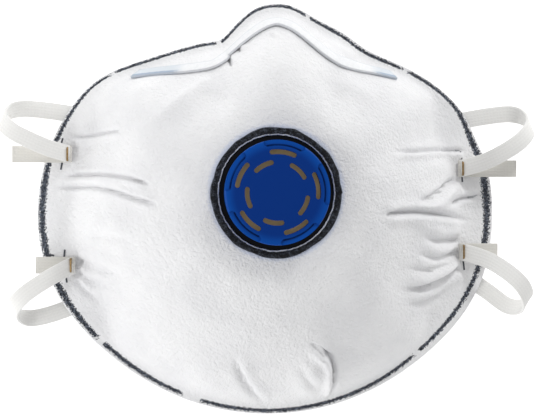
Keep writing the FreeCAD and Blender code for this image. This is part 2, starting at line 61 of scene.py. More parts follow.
def set_camera():
    """Straight above the mask, a little to its left, far enough off to flatten the perspective."""
    camera = bpy.data.objects.new("camera", bpy.data.cameras.new("camera"))
    bpy.context.collection.objects.link(camera)
    distance, view_width = 0.80, 0.162
    camera.location = Vector((-0.045, 0.0, distance))
    back = (camera.location - Vector((0.0008, 0.0, 0.0))).normalized()
    up = back.cross(Vector((1, 0, 0))).normalized()
    camera.rotation_euler = Matrix((up.cross(back), up, back)).transposed().to_euler()
    camera.data.sensor_width = 36.0
    camera.data.lens = camera.data.sensor_width * distance / view_width
    camera.data.clip_start, camera.data.clip_end = 0.01, 10.0
    bpy.context.scene.camera = camera


def area_light(name, place, size, power):
    """A round lamp aimed at the middle of the mask."""
    light = bpy.data.objects.new(name, bpy.data.lights.new(name, "AREA"))
    light.data.shape, light.data.size, light.data.energy = "DISK", size, power
    light.location = place
    light.rotation_euler = (MASK_MIDDLE - Vector(place)).to_track_quat("-Z", "Y").to_euler()
    bpy.context.collection.objects.link(light)


def set_light():
    """Soft lamps from the left, behind the nose and low by the chin, a weak one, a white surround."""
    area_light("key", (-0.80, -0.08, 0.50), 0.30, 2.1)
    area_light("back", (0.42, 0.78, 0.50), 0.20, 3.3)
    area_light("side", (0.70, 0.70, 0.40), 0.40, 0.6)
    area_light("low", (-0.75, -0.80, 0.45), 0.50, 2.9)
    world = bpy.data.worlds.new("surround")
    world.use_nodes = True
    surround = world.node_tree.nodes["Background"].inputs
    surround["Color"].default_value, surround["Strength"].default_value = (1, 1, 1, 1), 0.565
    bpy.context.scene.world = world
    bpy.context.scene.view_settings.view_transform = "Standard"


def floor():
    """A wide pale table top under the mask."""
    reach = 3.0
    plane = link_mesh("floor", [(-reach, -reach, 0), (reach, -reach, 0), (reach, reach, 0),
                                (-reach, reach, 0)], [(0, 1, 2, 3)], smooth=False)
    paint = Finish("pale_table", (0.93, 0.93, 0.93), 0.9)
    paint.set("Emission Color", (1, 1, 1, 1)).set("Emission Strength", 0.62)
    paint.on(plane)


# ---------------------------------------------------------------- shader building

class Value:
    """A shader number. Python's operators on it add Math nodes."""

    def __init__(self, finish, socket):
        self.finish, self.socket = finish, socket

    def math(self, operation, *others, clamp=False):
        """One Math node fed with this number and the others."""
        return self.finish.node("ShaderNodeMath", {"operation": operation, "use_clamp": clamp},
                                [self, *others])

    def __add__(self, other):
        return self.math("ADD", other)

    def __mul__(self, other):
        return self.math("MULTIPLY", other)

    def __sub__(self, other):
        return self.math("SUBTRACT", other)

    def __rsub__(self, other):
        return (self * -1) + other

    __radd__, __rmul__ = __add__, __mul__

    def clamped(self):
        """Held between 0 and 1."""
        return self.math("ADD", 0.0, clamp=True)

    def band(self, low, high):
        """0 below low, 1 above high, smooth between."""
        return self.finish.node("ShaderNodeMapRange", {"interpolation_type": "SMOOTHSTEP"},
                                {"Value": self, "From Min": low, "From Max": high})


class Finish:
    """One material: a Principled shader and the nodes that feed it."""

    def __init__(self, name, color, roughness, metallic=0.0):
        self.material = bpy.data.materials.new(name)
        self.material.use_nodes = True
        self.tree = self.material.node_tree
        self.shader = self.tree.nodes["Principled BSDF"]
        self.set("Base Color", (*color, 1)).set("Roughness", roughness).set("Metallic", metallic)
        self.material.diffuse_color = (*color, 1)

    def set(self, socket, value):
        """Sets or feeds one of the shader's own sockets."""
        self.feed(self.shader.inputs[socket], value)
        return self

    def feed(self, socket, value):
        """Links a Value to a socket, or puts a plain value there."""
        if isinstance(value, Value):
            self.tree.links.new(value.socket, socket)
        else:
            socket.default_value = value

    def node(self, kind, settings=None, sockets=None, output=0):
        """Any node: its settings are set first, then its sockets take values or links."""
        node = self.tree.nodes.new(kind)
        for name, value in (settings or {}).items():
            setattr(node, name, value)
        pairs = enumerate(sockets) if isinstance(sockets, list) else (sockets or {}).items()
        for key, value in pairs:
            self.feed(node.inputs[key], value)
        return Value(self, node.outputs[output])

    def place(self, scale=(1, 1, 1), turn=(0, 0, 0)):
        """Object coordinates, turned and then stretched."""
        spot = self.node("ShaderNodeTexCoord", output="Object")
        return self.node("ShaderNodeMapping", {"vector_type": "TEXTURE"}, {
            "Vector": spot, "Scale": tuple(1 / value for value in scale), "Rotation": turn})

    def noise(self, scale, detail=4.0, rough=0.55, at=None, distortion=0.0):
        """Fractal noise, 0 to 1. scale is how many of its bumps fit in a millimetre."""
        return self.node("ShaderNodeTexNoise", None, {
            "Vector": at or self.place(PER_MM), "Scale": scale, "Detail": detail, "Roughness": rough,
            "Distortion": distortion})

    def attribute(self, name):
        """A number stored at the mesh's vertices."""
        return self.node("ShaderNodeAttribute", {"attribute_name": name}, output="Fac")

    def mix(self, factor, first, second):
        """A colour between two colours."""
        def color(value):
            return value if isinstance(value, Value) else (*value, 1)
        return self.node("ShaderNodeMix", {"data_type": "RGBA"},
                         {0: factor, 6: color(first), 7: color(second)}, output=2)

    def bump(self, height, distance, strength=1.0):
        """A normal bent by a height, which distance turns into metres."""
        return self.node("ShaderNodeBump", None, {
            "Height": height, "Distance": distance, "Strength": strength})

    def on(self, *pieces):
        """Gives this material to the pieces."""
        for piece in pieces:
            piece.data.materials.clear()
            piece.data.materials.append(self.material)
        return self


# ---------------------------------------------------------------- mesh building

def unit(vectors):
    """Each vector divided by its length."""
    return vectors / np.maximum(np.linalg.norm(vectors, axis=-1, keepdims=True), 1e-12)


def gauss(value, centre, width):
    """exp(-x squared), x being the distance from the centre in widths."""
    return np.exp(-((value - centre) / width) ** 2)


def half_cosine(angle, start, end):
    """1 before start, 0 after end, half a cosine wave between."""
    share = np.clip((angle - start) / (end - start), 0, 1)
    return 0.5 + 0.5 * np.cos(np.pi * share)


def link_mesh(name, vertices, faces, smooth=True):
    """A mesh object from an array of vertices (metres) and a list of faces."""
    mesh = bpy.data.meshes.new(name)
    mesh.from_pydata(np.asarray(vertices).reshape(-1, 3).tolist(), [], faces)
    mesh.update()
    if smooth:
        mesh.polygons.foreach_set("use_smooth", np.ones(len(mesh.polygons), bool))
    piece = bpy.data.objects.new(name, mesh)
    bpy.context.collection.objects.link(piece)
    return piece


def tube_faces(rows, columns, closed=True):
    """Quads of a grid whose columns wrap round. closed also joins the last row to the first."""
    row = np.arange(rows if closed else rows - 1)[:, None]
    column = np.arange(columns)[None]
    after, beside = (row + 1) % rows, (column + 1) % columns
    quads = np.stack([row * columns + column, row * columns + beside,
                      after * columns + beside, after * columns + column], -1)
    return [tuple(face) for face in quads.reshape(-1, 4).tolist()]


def put_attribute(piece, name, values):
    """A number at every vertex, which the material reads."""
    layer = piece.data.attributes.new(name, "FLOAT", "POINT")
    layer.data.foreach_set("value", np.asarray(values, np.float32).ravel())


def fix_normals(piece):
    """Turns a closed mesh's faces outwards."""
    work = bmesh.new()
    work.from_mesh(piece.data)
    bmesh.ops.recalc_face_normals(work, faces=work.faces)
    work.to_mesh(piece.data)
    work.free()


def carried(name, points, side, up, section):
    """A closed bar: a section carried along the points on two cross axes, capped flat at both ends.

    Each vertex is told how far along the line and how far across the section it lies, in metres.
    """
    rings = points[:, None] + side[:, None] * section[..., :1] + up[:, None] * section[..., 1:]
    count, around = rings.shape[:2]
    faces = tube_faces(count, around, closed=False)
    faces += [tuple(range(around))[::-1], tuple((count - 1) * around + k for k in range(around))]
    piece = link_mesh(name, rings, faces)
    passed = np.concatenate([[0], np.cumsum(np.linalg.norm(np.diff(points, axis=0), axis=1))])
    put_attribute(piece, "along", np.repeat(passed, around))
    put_attribute(piece, "across", np.broadcast_to(section[..., 0], (count, around)))
    fix_normals(piece)
    return piece


def belongs(piece, node=None, body="mask"):
    """Puts a piece on its body and the CAD node that it stands for."""
    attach(piece, body)
    if node:
        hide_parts(node)
    return piece


# ---------------------------------------------------------------- the straps

STRAP_WIDTH, STRAP_THICK = 5.0 * MM, 0.8 * MM
FOLD = 0.45 * MM  # radius of the middle line round a folded end
FOLD_INSET = 0.5 * MM  # from a staple's crown in to the start of the fold
CROWN_GAP = 1.1 * MM  # from the top of a staple's crown down to the band's middle line

# middle lines of the two bands, in millimetres between the two folds
UPPER_ROUTE = [
    (-64.2, 17.8, 8.4), (-70.4, 20.4, 11.6), (-76.6, 23.4, 12.0), (-79.8, 27.2, 6.4),
    (-75.6, 30.4, 0.45), (-67.8, 30.0, 0.45), (-58.0, 28.6, 0.45), (-42.0, 25.0, 0.45),
    (-20.0, 20.6, 0.45), (4.0, 19.0, 0.45), (26.0, 20.4, 0.45), (45.0, 24.0, 0.45),
    (59.0, 27.0, 0.45), (68.0, 28.6, 0.45), (75.4, 29.2, 0.45), (79.4, 25.4, 6.4),
    (75.6, 20.8, 12.0), (69.4, 16.8, 11.6), (63.0, 13.6, 8.6)]
LOWER_ROUTE = [
    (-62.6, -18.6, 8.2), (-68.0, -21.8, 11.2), (-73.0, -25.2, 11.8), (-76.8, -29.8, 6.4),
    (-72.2, -32.8, 0.45), (-65.0, -31.4, 0.45), (-56.0, -28.0, 0.45), (-42.0, -22.0, 0.45),
    (-22.0, -16.2, 0.45), (2.0, -13.0, 0.45), (24.0, -12.6, 0.45), (44.0, -14.8, 0.45),
    (58.0, -19.0, 0.45), (66.8, -24.6, 0.45), (73.4, -30.0, 0.45), (78.4, -28.2, 6.4),
    (76.0, -22.6, 11.8), (70.2, -17.6, 11.4), (64.0, -14.0, 8.8)]


def strap_start(name, after):
    """Where the long part of a strap leaves its fold: it climbs under the staple's crown to after."""
    low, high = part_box("staple_" + name)
    crown_x, crown_y = (low[0] + high[0]) / 2, (low[1] + high[1]) / 2
    inward = -1.0 if "right" in name else 1.0
    share = FOLD_INSET / (abs(after[0] - crown_x) + FOLD_INSET)
    start_height = (high[2] - CROWN_GAP - after[2] * share) / (1 - share)
    return np.array([crown_x + inward * FOLD_INSET, crown_y, start_height])


def spline_points(name, control):
    """Points read from one NURBS spline through the route's control points."""
    curve = bpy.data.curves.new(name, "CURVE")
    curve.dimensions = "3D"
    curve.resolution_u = 10
    spline = curve.splines.new("NURBS")
    spline.points.add(len(control) - 1)
    for point, place in zip(spline.points, control):
        point.co = (*place, 1.0)
    spline.order_u = 3
    spline.use_endpoint_u = True
    holder = bpy.data.objects.new(name, curve)
    bpy.context.collection.objects.link(holder)
    bpy.context.view_layer.update()
    mesh = bpy.data.meshes.new_from_object(holder)
    points = np.empty(len(mesh.vertices) * 3)
    mesh.vertices.foreach_get("co", points)
    bpy.data.objects.remove(holder)
    return points.reshape(-1, 3)


def band_mesh(name, points, fold_lines, along=None):
    """A flat band: a rounded rectangle carried along the points.

    Its width lies as near the fold lines as it can.
    """
    if along is None:
        along = unit(np.gradient(points, axis=0))
    corner = 0.24 * MM
    turn = np.radians([0, 30, 60, 90])
    quarter = np.stack([np.cos(turn), np.sin(turn)], 1) * corner
    half = np.array([STRAP_WIDTH / 2 - corner, STRAP_THICK / 2 - corner])
    section = np.concatenate([half + quarter, half * [-1, 1] + quarter[::-1] * [-1, 1],
                              -half - quarter, half * [1, -1] + quarter[::-1] * [1, -1]])
    normal = unit(np.cross(fold_lines, along))
    return carried(name, points, np.cross(along, normal), normal, section)


def fold_line(x, tilt):
    """Direction of a band's folds: along Y at the staples and leaning by tilt at the loops."""
    lean = np.radians(tilt) * np.clip(x / (60 * MM), -1, 1)
    lean = lean * (1 - half_cosine(np.abs(x) / MM, 60, 68))
    return np.stack([-np.sin(lean), np.cos(lean), np.zeros_like(lean)], -1)


def strap_tail(name, outward, top, tail):
    """A strap's folded end: from its cut edge under the band, in to the staple and round the fold."""
    outward = np.array([outward, 0, 0])
    up = np.array([0, 0, 1.0])
    turn = np.linspace(0, np.pi, 9)[:, None]
    fold = top - up * FOLD - outward * FOLD * np.sin(turn) - up * FOLD * np.cos(turn)
    reach = np.linspace(tail + FOLD_INSET, 0.3 * MM, 14)[:, None]
    droop = 0.9 * MM * (reach / reach[0]) ** 2
    straight = top - up * 2 * FOLD + outward * reach - up * droop
    points = np.concatenate([straight, fold, (top + outward * 0.8 * MM)[None]])
    along = np.concatenate([unit(np.gradient(straight, axis=0)),
                            -outward * np.cos(turn) + up * np.sin(turn),
                            outward[None]])
    return band_mesh(name, points, np.tile([0, 1.0, 0], (len(points), 1)), along=along)


def strap(label, route, left, right, tail, tilt):
    """One elastic band with its two folded tails.

    tail is how far each cut end reaches out past its fold; tilt is the lean of the loops in degrees.
    """
    route = np.array(route) * MM
    start, end = strap_start(left, route[0]), strap_start(right, route[-1])
    points = spline_points(label + "_line", [start, *route, end])
    band = band_mesh(label + "_band", points, fold_line(points[:, 0], tilt))
    tails = [strap_tail(label + "_tail_left", -1.0, start, tail),
             strap_tail(label + "_tail_right", 1.0, end, tail)]
    for piece in (band, *tails):
        belongs(piece)
    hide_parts(label)
    return [band, *tails]


# ---------------------------------------------------------------- the cup's skin

AROUND, WALL_ROWS, FLANGE_ROWS = 600, 96, 22
HOLE, PLATEAU = 16.4 * MM, 20.0 * MM  # radii of the cover's hole and of the flat round the valve
FLANGE_SLOPE = np.tan(np.radians(20.0))
FLANGE_THICK = 1.2 * MM
# uneven places of the rim: direction and half width in degrees, rise in millimetres
UNEVEN = [(67, 9.5, 3.1), (103, 9.5, -3.1), (107.6, 3.2, -0.7), (147, 11, 1.6), (186, 16, 0.9),
          (272, 30, -1.2), (15, 6, -0.9)]


def ring_difference(direction, centre):
    """Signed angle from centre to direction, degrees, between -180 and 180."""
    return (direction - centre + 180) % 360 - 180


def rim_radius(direction):
    """Plan distance from the valve to the rim: round at the chin, cut in beside the nose.

    The moulding is a little uneven: a tight notch left of the nose, a straight shoulder right of it.
    """
    turn = np.abs(ring_difference(direction, 90))
    radius = (66.6 + 2.9 * gauss(turn, 112, 22) - 17.3 * half_cosine(turn, 20, 85)
              + 7.2 * np.exp(-(turn / 15.6) ** 2.8))
    for centre, width, rise in UNEVEN:
        radius = radius + rise * gauss(ring_difference(direction, centre), 0, width)
    return radius * MM


def blunted(share, tip=0.15):
    """A share that climbs evenly to 1, with its last stretch bent over into a level parabola."""
    left = 1 - np.clip(share, 0, 1)
    return 1 - np.where(left < tip, left ** 2 / (2 * tip) + tip / 2, left)


def rim_height(turn):
    """Height of the rim: on the ground at the cheeks, raised at the nose and the chin."""
    nose = 13.0 * blunted((82 - turn) / 82) ** 1.15
    chin = 10.0 * blunted((turn - 100) / 80) ** 1.1
    return (nose + chin) * MM


def flange_width(turn):
    """Narrow at the nose and the chin, wide at the cheeks, where the straps are stapled."""
    wide = half_cosine(-turn, -72, -56) * half_cosine(turn, 120, 138)
    return (3.4 + 8.1 * wide) * MM


def skin_profile(direction):
    """The undented outer skin: rows from the hole, down the wall and out over the flange.

    The wall is a superellipse quarter from the flange's inner edge to the flat round the valve.
    Its foot is eased into the flange by averaging each row with its neighbours.
    """
    turn = np.abs(ring_difference(direction, 90))[:, None]
    rim, wide = rim_radius(direction)[:, None], flange_width(turn)
    foot_radius = rim - wide
    foot_z = rim_height(turn) + wide * FLANGE_SLOPE + FLANGE_THICK
    power = 1.35 + 0.2 * half_cosine(turn, 10, 40)
    flat = np.linspace(HOLE, PLATEAU, 8)[None, :-1] * np.ones_like(turn)
    lean = (np.linspace(1, 0, WALL_ROWS) ** 0.92)[None] * np.pi / 2
    across, up = np.cos(lean) ** (2 / power), np.sin(lean) ** (2 / power)
    wall_radius = PLATEAU + (foot_radius - PLATEAU) * across
    wall_z = foot_z + (DOME_TOP - foot_z) * up
    share = np.linspace(0, 1, FLANGE_ROWS + 1)[None, 1:]
    out_radius = foot_radius + wide * share
    out_z = foot_z - wide * FLANGE_SLOPE * share
    radius = np.concatenate([flat, wall_radius, out_radius], 1)
    height = np.concatenate([np.full_like(flat, DOME_TOP), wall_z, out_z], 1)
    inner = slice(1, -1)
    averagings = 80
    for _ in range(averagings):
        radius[:, inner] += 0.25 * (radius[:, :-2] + radius[:, 2:] - 2 * radius[:, inner])
        height[:, inner] += 0.25 * (height[:, :-2] + height[:, 2:] - 2 * height[:, inner])
    angle = np.radians(direction)[:, None]
    return np.stack([radius * np.cos(angle), VALVE_Y + radius * np.sin(angle), height], -1)


def grid_normals(grid):
    """Outward normals of a grid that wraps round its first axis."""
    wrapped = np.concatenate([grid[-1:], grid, grid[:1]])
    around = wrapped[2:] - wrapped[:-2]
    down = np.gradient(grid, axis=1)
    return unit(np.cross(down, around))


def segment_distance(spot, points):
    """Signed distance from each plan spot to a chain of points, and how far along the chain it is."""
    best = np.full(spot.shape[:-1], 1e9)
    signed, share = np.zeros_like(best), np.zeros_like(best)
    lengths = np.linalg.norm(np.diff(points, axis=0), axis=1)
    passed, total = 0.0, lengths.sum()
    for start, end, length in zip(points[:-1], points[1:], lengths):
        way = (end - start) / length
        offset = spot - start
        along = np.clip(offset @ way, 0, length)
        gap = offset - along[..., None] * way
        distance = np.linalg.norm(gap, axis=-1)
        side = np.sign(way[0] * gap[..., 1] - way[1] * gap[..., 0])
        closer = distance < best
        best = np.where(closer, distance, best)
        signed = np.where(closer, distance * side, signed)
        share = np.where(closer, (passed + along) / total, share)
        passed += length
    return signed, share


def crease(spot, points, depth, width, left, right, fade):
    """A furrow along a chain of plan points, with a puffed lip on each side.

    depth is how far the furrow sinks; left and right are how far the lips stand up beside it;
    width is its half width; fade is the share of its length over which each end dies out.
    """
    signed, share = segment_distance(spot, np.array(points) * MM)
    signed = signed / MM
    ends = np.clip(share / fade[0], 0, 1) * np.clip((1 - share) / fade[1], 0, 1)
    ends = ends * ends * (3 - 2 * ends)
    furrow = -depth * np.exp(-np.abs(signed / width) ** 1.8)
    lips = (left * gauss(signed, 2.4 * width, 2.2 * width)
            + right * gauss(signed, -2.4 * width, 2.2 * width))
    return ends * (furrow + lips) * MM


# furrows and puffs in the skin: plan points (mm), depth, width, left, right and fade, as in crease
CREASES = [
    # left cheek, under the upper staple
    ([(-60.5, 21.4), (-53.0, 22.0), (-41.0, 23.2)], 1.1, 0.55, 0.15, 0.8, (0.25, 0.25)),
    ([(-63.0, 9.6), (-56.5, 10.4), (-48.0, 10.2), (-41.0, 9.2), (-34.5, 7.0)], 1.8, 0.55, 0.4, 0.9,
     (0.3, 0.1)),
    ([(-67.0, 5.2), (-60.5, 6.8), (-52.0, 6.9), (-45.0, 5.4), (-40.0, 3.6), (-33.0, 1.6)], 1.7,
     0.55, 0.8, 0.4, (0.35, 0.1)),
    ([(-55.0, -7.0), (-48.0, -7.8), (-40.0, -8.4)], 0.5, 1.2, 0.3, 0.3, (0.25, 0.25)),
    # left cheek, from the lower staple
    ([(-57.5, -15.2), (-51.0, -17.0), (-43.0, -18.8)], 1.2, 1.0, 0.8, 0.6, (0.05, 0.5)),
    ([(-57.5, -18.4), (-51.0, -21.4), (-44.5, -23.4)], 1.3, 1.0, 0.6, 0.6, (0.05, 0.5)),
    ([(-57.5, -20.5), (-54.0, -24.4), (-49.5, -27.5)], 1.1, 0.9, 0.4, 0.5, (0.1, 0.5)),
    # right cheek, over and under the upper staple
    ([(33.0, 16.8), (40.5, 17.0), (49.5, 17.8), (59.5, 17.8)], 1.5, 0.55, 0.2, 0.9, (0.35, 0.08)),
    ([(31.5, -1.8), (36.0, -0.8), (42.0, -0.6), (48.0, -1.0), (55.0, -1.9), (61.0, -3.6)], 2.8,
     0.75, 0.9, 1.5, (0.1, 0.35)),
    ([(41.0, 2.0), (45.0, 2.8), (50.0, 5.4), (53.6, 8.2), (57.5, 9.4)], 2.3, 0.9, 0.3, 2.0,
     (0.3, 0.12)),
    ([(53.0, 1.2), (57.5, 3.4), (62.0, 4.0), (66.0, 5.6)], 1.6, 0.6, 0.9, 0.5, (0.3, 0.2)),
    ([(39.0, -3.4), (45.0, -5.2), (51.0, -5.6)], -0.7, 1.6, 0.0, 0.0, (0.4, 0.4)),
    ([(43.0, -7.6), (49.0, -9.2), (57.5, -9.0)], 2.0, 1.0, 1.1, 1.1, (0.5, 0.06)),
    ([(41.0, -12.6), (48.0, -14.2), (57.5, -13.0)], 1.6, 0.9, 0.5, 0.9, (0.5, 0.06)),
    ([(37.0, -17.0), (45.0, -17.8), (56.5, -15.0)], 1.1, 0.9, 0.5, 0.6, (0.5, 0.1)),
    ([(36.0, -23.8), (43.5, -23.0), (51.0, -20.4), (57.5, -17.2)], 2.4, 0.9, 1.6, 1.3,
     (0.4, 0.06)),
    ([(38.0, -27.6), (45.0, -27.0), (52.0, -24.4)], 1.0, 0.9, 0.7, 0.5, (0.4, 0.4)),
    # chin
    ([(-11.4, -42.0), (-9.6, -46.6), (-7.4, -50.8), (-4.6, -54.6), (-1.0, -57.4)], 1.3, 0.85, 0.5,
     0.3, (0.3, 0.12)),
    ([(7.0, -43.4), (9.6, -47.6), (12.2, -51.0), (15.2, -54.4)], 0.6, 1.1, 0.4, 0.3, (0.4, 0.4)),
    ([(9.4, -37.6), (13.0, -39.6), (16.4, -42.0), (18.0, -45.6), (18.4, -50.0), (18.2, -55.6)],
     2.6, 0.6, 0.5, 1.9, (0.3, 0.1)),
    # nose
    ([(-13.4, 46.0), (-12.4, 43.2), (-12.0, 41.4)], 1.2, 0.5, 0.4, 0.0, (0.25, 0.25)),
    ([(-10.2, 47.8), (-9.2, 45.8)], 0.9, 0.5, 0.4, 0.0, (0.25, 0.25)),
    ([(-0.6, 51.4), (0.2, 49.4)], 0.7, 0.5, 0.3, 0.0, (0.25, 0.25)),
    ([(21.5, 43.6), (28.0, 46.2), (35.0, 45.2)], 1.0, 0.8, 0.6, 0.0, (0.25, 0.25)),
    ([(-36.0, 22.0), (-29.0, 27.8), (-22.5, 33.4), (-16.0, 39.2)], -1.5, 2.2, 0.0, 0.0,
     (0.4, 0.2)),
    ([(17.0, 38.6), (24.0, 34.8), (32.0, 31.0)], -0.8, 2.6, 0.0, 0.0, (0.3, 0.4)),
]
# broad soft swells and hollows: place, radii and height, in millimetres
SWELLS = [
    ((-56.6, -16.4), (3.0, 3.4), -1.3), ((55.8, -12.6), (3.0, 3.4), -1.3),
    ((-57.6, 16.4), (2.4, 3.2), -0.2), ((55.8, 12.2), (2.4, 3.2), -0.6),
    ((11.5, -46.0), (4.5, 8.0), 1.5), ((-17.0, -50.0), (7.0, 6.0), 0.9),
    ((-33.0, 33.0), (10.0, 7.0), 1.9), ((33.0, 36.0), (9.0, 5.0), 0.7),
    ((-16.5, 33.0), (3.4, 7.0), -1.3), ((17.0, 34.0), (3.4, 7.0), -1.0),
    ((0.0, 40.0), (6.0, 8.0), 0.9), ((-37.0, 19.0), (9.5, 13.0), 2.6),
    ((46.0, -5.0), (7.0, 3.0), 0.8), ((50.0, 12.8), (6.0, 2.6), 0.8),
]


def value_noise(spot, pitch, seed, octaves=3):
    """Smooth random relief between about -1 and 1: a lattice of seeded numbers, blended."""
    total, weight = np.zeros(spot.shape[:-1]), 0.0
    for octave in range(octaves):
        lattice = np.random.default_rng(seed + octave).uniform(-1, 1, (256, 256))
        place = spot / (pitch * 0.5 ** octave) + 128
        cell = np.floor(place).astype(int)
        part = place - cell
        part = part * part * (3 - 2 * part)
        x, y = cell[..., 0] % 255, cell[..., 1] % 255
        low = lattice[x, y] * (1 - part[..., 0]) + lattice[x + 1, y] * part[..., 0]
        high = lattice[x, y + 1] * (1 - part[..., 0]) + lattice[x + 1, y + 1] * part[..., 0]
        total += (low * (1 - part[..., 1]) + high * part[..., 1]) * 0.5 ** octave
        weight += 0.5 ** octave
    return total / weight


def relief(grid, inset):
    """How far the skin stands off its undented shape, in metres.

    It is the sum of the creases, the swells, a hollow round the valve and two sizes of noise. The
    creases and swells die out at the rim, and all but the hollow die out by the valve.
    """
    spot = grid[..., :2]
    rise = sum(crease(spot, *item) for item in CREASES)
    for place, radii, height in SWELLS:
        away = (spot / MM - place) / radii
        rise = rise + height * MM * np.exp(-(away ** 2).sum(-1))
    off_rim = np.clip(inset / (6 * MM), 0, 1)
    from_valve = np.linalg.norm(spot - AXIS[:2], axis=-1)
    off_valve = np.clip((from_valve - 19 * MM) / (8 * MM), 0, 1)
    rise = rise * np.clip((inset - 1.5 * MM) / (6 * MM), 0, 1) * off_valve
    rise = rise - 0.5 * MM * gauss(from_valve, 20.5 * MM, 4.0 * MM)
    rise = rise + off_valve * (0.3 + 0.7 * off_rim) * 0.35 * MM * value_noise(spot, 16 * MM, 5)
    return rise + off_valve * off_rim * 0.09 * MM * value_noise(spot, 2.6 * MM, 9)


def spread_directions():
    """Directions round the valve, closer together where creases run down the wall."""
    fine = np.arange(0, 360, 0.25)
    density = np.ones_like(fine)
    for centre, reach, extra in ((0, 32, 2.0), (180, 32, 2.0), (277, 20, 1.4), (105, 22, 0.6)):
        away = np.abs(ring_difference(fine, centre))
        density += extra * half_cosine(away, reach - 4, reach + 4)
    passed = np.concatenate([[0], np.cumsum(density)])
    return np.interp(np.arange(AROUND) * passed[-1] / AROUND, passed, np.arange(0, 360.1, 0.25))


DIRECTION = spread_directions()

# the dark weld in each direction: degrees, how far its middle is in from the rim, its half width (mm)
WELD_LINE = np.array([
    (0, 1.8, 1.3), (12, 1.6, 1.1), (25, 0.9, 0.6), (45, 1.0, 0.55), (60, 1.2, 0.55), (75, 0.9, 0.5),
    (90, 0.75, 0.45), (105, 0.8, 0.5), (125, 0.75, 0.45), (150, 0.8, 0.45), (165, 1.1, 0.7),
    (180, 1.4, 1.1), (200, 1.5, 1.1), (225, 1.5, 0.7), (250, 1.3, 0.55), (270, 1.0, 0.6),
    (300, 1.5, 0.6), (320, 2.4, 0.6), (335, 2.5, 0.7), (350, 1.9, 1.0), (360, 1.8, 1.3)])
# gaps in it: direction and half width, degrees
WELD_BREAKS = [(108.6, 0.9), (142.6, 0.7), (77.8, 0.7), (42.1, 0.8), (221.2, 1.0), (249.1, 2.4),
               (312.8, 0.9)]
WELD_DEPTH = 0.28 * MM


def weld_share(direction, inset):
    """1 or more inside the weld, falling below 0 outside it, and cut where the weld has gaps.

    It peaks at 1.45 and loses 1 for each half width away from the weld's middle.
    """
    places, middles, halves = WELD_LINE.T
    middle = np.interp(direction, places, middles) * MM
    share = 1.45 - np.abs(inset - middle) / (np.interp(direction, places, halves) * MM)
    for place, width in WELD_BREAKS:
        gap = np.abs(ring_difference(direction, place))
        share = np.minimum(share, (gap - width) / 0.5 + 0.5)
    return share


Skin = namedtuple("Skin", "base normals inset rise direction top")


def cup_skin():
    """The skin's undented rows, their normals, how far in they are, their relief and the dented top."""
    base = skin_profile(DIRECTION)
    normals = grid_normals(base)
    inset = rim_radius(DIRECTION)[:, None] - np.linalg.norm(base[..., :2] - AXIS[:2], axis=-1)
    rise = relief(base, inset)
    direction = np.repeat(DIRECTION[:, None], base.shape[1], 1)
    pressed = np.clip(weld_share(direction, inset), 0, 1) * WELD_DEPTH
    return Skin(base, normals, inset, rise, direction, base + normals * (rise - pressed)[..., None])


SKIN = cup_skin()
LAST_ROW = SKIN.base.shape[1] - 1


# ---------------------------------------------------------------- cover, plies and fused rim

def closed_ply(name, upper, lower):
    """A closed cloth: one grid's rows out to the rim, and back along the other's."""
    rows = np.transpose(np.concatenate([upper, lower[:, ::-1]], axis=1), (1, 0, 2))
    piece = link_mesh(name, rows, tube_faces(rows.shape[0], rows.shape[1]))
    fix_normals(piece)
    return piece


def cover_cloth():
    """The white cover, from the dented skin to half a millimetre under it, its cut edge rounded.

    Each vertex is told how strongly it is welded and its distance from the valve's axis, in mm.
    """
    thick, edge_drop = 0.5 * MM, np.array([0.02, 0.06, 0.16]) * MM
    rows = np.unique([*range(0, WALL_ROWS, 8), *range(WALL_ROWS, LAST_ROW, 3), LAST_ROW])
    under = SKIN.base[:, rows] + SKIN.normals[:, rows] * (SKIN.rise[:, rows] - thick)[..., None]
    top = SKIN.top.copy()
    top[:, -3:] -= SKIN.normals[:, -3:] * edge_drop[None, :, None]
    top[..., 2] = np.maximum(top[..., 2], 0.45 * MM)
    under[..., 2] = np.maximum(under[..., 2], 0.1 * MM)
    cover = closed_ply("cover_cloth", top, under)
    underside = np.full((AROUND, len(rows)), -1.0)
    weld = np.concatenate([weld_share(SKIN.direction, SKIN.inset), underside], 1)
    rings = np.concatenate([SKIN.base, SKIN.base[:, rows][:, ::-1]], 1)
    from_valve = np.linalg.norm(rings[..., :2] - AXIS[:2], axis=-1) / MM
    put_attribute(cover, "weld", weld.T)
    put_attribute(cover, "from_valve", from_valve.T)
    return belongs(cover, "outer_cover")


# the plies under the cover: depths of both faces under the skin (mm) and material slot
PLIES = {
    "carbon_layer": (0.60, 1.30, "carbon_felt"), "filter_layer_outer": (1.40, 1.75, "meltblown"),
    "filter_layer_inner": (1.85, 2.20, "meltblown"), "support_shell": (2.30, 3.10, "moulded_nonwoven"),
    "inner_cover": (3.20, 3.60, "soft_nonwoven")}


def hidden_plies():
    """The five plies, each a closed cloth between two depths, denting where the skin dents.

    A ply follows the deepest dent near it. Towards the flange the plies are pressed together to a
    third of their depth.
    """
    dent = np.minimum.reduce([np.roll(SKIN.rise, k, 0) for k in (-1, 0, 1)])
    padded = np.pad(dent, ((0, 0), (3, 3)), mode="edge")
    dent = np.minimum.reduce([padded[:, k:k + dent.shape[1]] for k in range(7)])
    rows = np.unique([*range(0, LAST_ROW - 15, 3), LAST_ROW - 15])
    dent = np.minimum(dent, 0.0)[:, rows]
    pressed = 1 - 0.67 * (1 - half_cosine(rows, LAST_ROW - 35, rows[-1]))
    base, out = SKIN.base[:, rows], SKIN.normals[:, rows]
    plies = {}
    for name, (near, far, slot) in PLIES.items():
        upper, lower = (base + out * (dent - depth * MM * pressed)[..., None] for depth in (near, far))
        plies[name] = belongs(closed_ply(name, upper, lower), name)
    return plies


